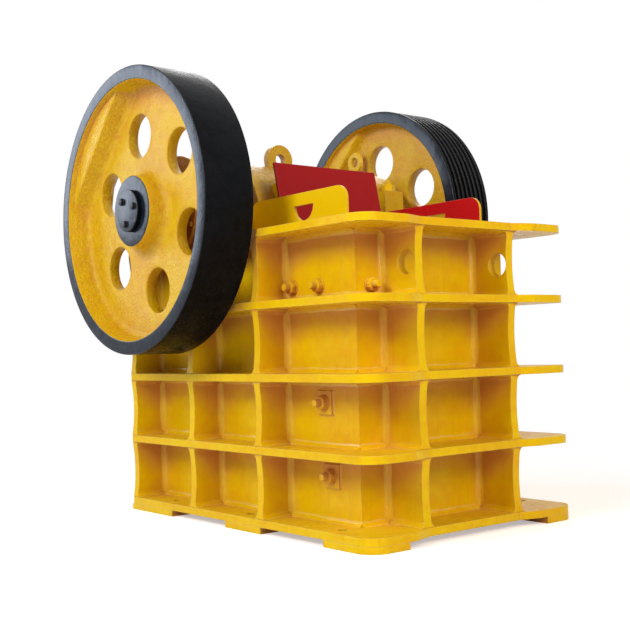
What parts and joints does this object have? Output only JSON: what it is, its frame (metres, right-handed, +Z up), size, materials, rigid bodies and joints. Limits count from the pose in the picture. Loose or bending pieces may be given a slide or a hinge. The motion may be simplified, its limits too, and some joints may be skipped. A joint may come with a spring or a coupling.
{
  "type": "single toggle jaw crusher",
  "caption": "Single toggle jaw crusher: ribbed welded frame on foot pads, swing jaw on an eccentric shaft, flywheel and grooved pulley outside, open hopper cheeks on top.",
  "frame": {"origin": "on the floor, in the middle of the rectangle of foundation bolts", "axes": "+X along the shaft towards the grooved pulley, -Y towards the feed end, +Z up"},
  "size_m": [2.144, 2.409, 2.541],
  "materials": {
    "yellow_paint": "chipped yellow machine paint with dirt and rust streaks",
    "red_paint": "worn red paint",
    "wheel_paint": "grey paint on the rim and hub, yellow on the web",
    "manganese_steel": "bare cast manganese steel, worn",
    "bare_steel": "bare steel, dark with grease and light rust"
  },
  "bodies": {
    "frame": {"side_plate_left": "yellow_paint", "side_plate_right": "yellow_paint", "front_wall": "yellow_paint", "rear_wall": "yellow_paint", "side_flanges_left": "yellow_paint", "side_flanges_right": "yellow_paint", "corner_flanges_left": "yellow_paint", "corner_flanges_right": "yellow_paint", "front_flanges": "yellow_paint", "rear_flanges": "yellow_paint", "side_ribs_left": "yellow_paint", "side_ribs_right": "yellow_paint", "front_ribs": "yellow_paint", "rear_ribs": "yellow_paint", "foot_pads": "yellow_paint", "bearing_saddle_left": "yellow_paint", "bearing_saddle_right": "yellow_paint", "bearing_cap_left": "yellow_paint", "bearing_cap_right": "yellow_paint", "bearing_covers": "yellow_paint", "fixed_jaw_plate": "manganese_steel", "cheek_plates_left": "manganese_steel", "cheek_plates_right": "manganese_steel", "hopper_cheek_left": "yellow_paint", "hopper_cheek_right": "yellow_paint", "liner_bolts_left": "bare_steel", "liner_bolts_right": "bare_steel", "toggle_beam": "yellow_paint", "toggle_seat": "yellow_paint", "toggle_plate": "bare_steel", "spring_seat": "yellow_paint", "spring": "bare_steel"},
    "rotor": {"eccentric_shaft": "bare_steel", "flywheel": "wheel_paint", "pulley": "wheel_paint", "end_plates": "yellow_paint"},
    "swing_jaw_body": {"swing_jaw": "yellow_paint", "head_rings": "yellow_paint", "moving_jaw_plate": "manganese_steel", "jaw_clamp": "yellow_paint", "head_guard": "red_paint", "lifting_eye": "yellow_paint", "tension_rod": "bare_steel"}
  },
  "joints": [
    {"name": "shaft_turn", "type": "hinge", "parent": "frame", "child": "rotor", "pos_m": [0, 0.539, 1.741], "axis": [1, 0, 0], "continuous": true},
    {"name": "jaw_swing", "type": "hinge", "parent": "frame", "child": "swing_jaw_body", "pos_m": [0, 0.539, 1.741], "axis": [1, 0, 0], "range_deg": [-0.7, 0]}
  ]
}
